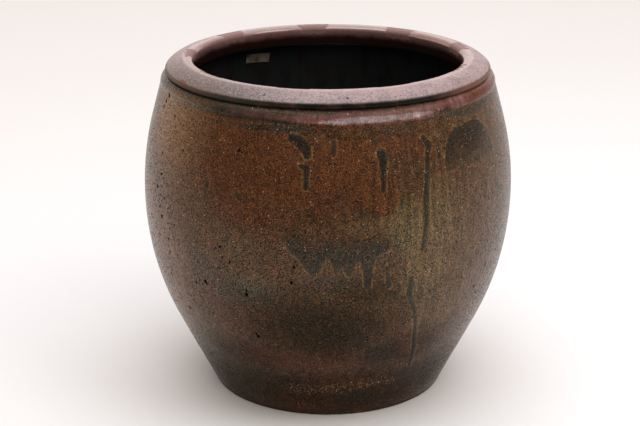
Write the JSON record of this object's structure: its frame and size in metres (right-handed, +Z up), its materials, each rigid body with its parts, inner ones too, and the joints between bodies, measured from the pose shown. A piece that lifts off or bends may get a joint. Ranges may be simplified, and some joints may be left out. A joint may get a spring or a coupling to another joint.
{
  "type": "stoneware storage jar",
  "caption": "Open, wide-bellied coil-built stoneware jar with a narrow flat foot, a moulded neck band and a broad flat rim, glazed outside and in.",
  "frame": {"origin": "centre of the flat underside, on the floor", "axes": "+Z up along the jar's axis, out of the mouth; -Y is the front that the picture shows, +X its right"},
  "size_m": [0.5072, 0.5079, 0.461],
  "materials": {
    "stoneware_clay": "bare fired clay",
    "rust_glaze": "satin rust-brown ash glaze",
    "run_glaze": "dark glossy glaze runs",
    "black_liner": "glossy black-brown liner glaze",
    "mauve_glaze": "satin speckled mauve glaze",
    "label_paper": "aged blank paper"
  },
  "bodies": {
    "root": {"base_slab": "stoneware_clay", "corner_coil": "stoneware_clay", "foot_coil": "stoneware_clay", "wall_coil_1": "stoneware_clay", "wall_coil_2": "stoneware_clay", "wall_coil_3": "stoneware_clay", "wall_coil_4": "stoneware_clay", "wall_coil_5": "stoneware_clay", "neck_band": "stoneware_clay", "rim_flange": "stoneware_clay", "outer_glaze": "rust_glaze", "glaze_runs": "run_glaze", "liner_glaze": "black_liner", "rim_glaze": "mauve_glaze", "paper_label": "label_paper"}
  },
  "joints": []
}
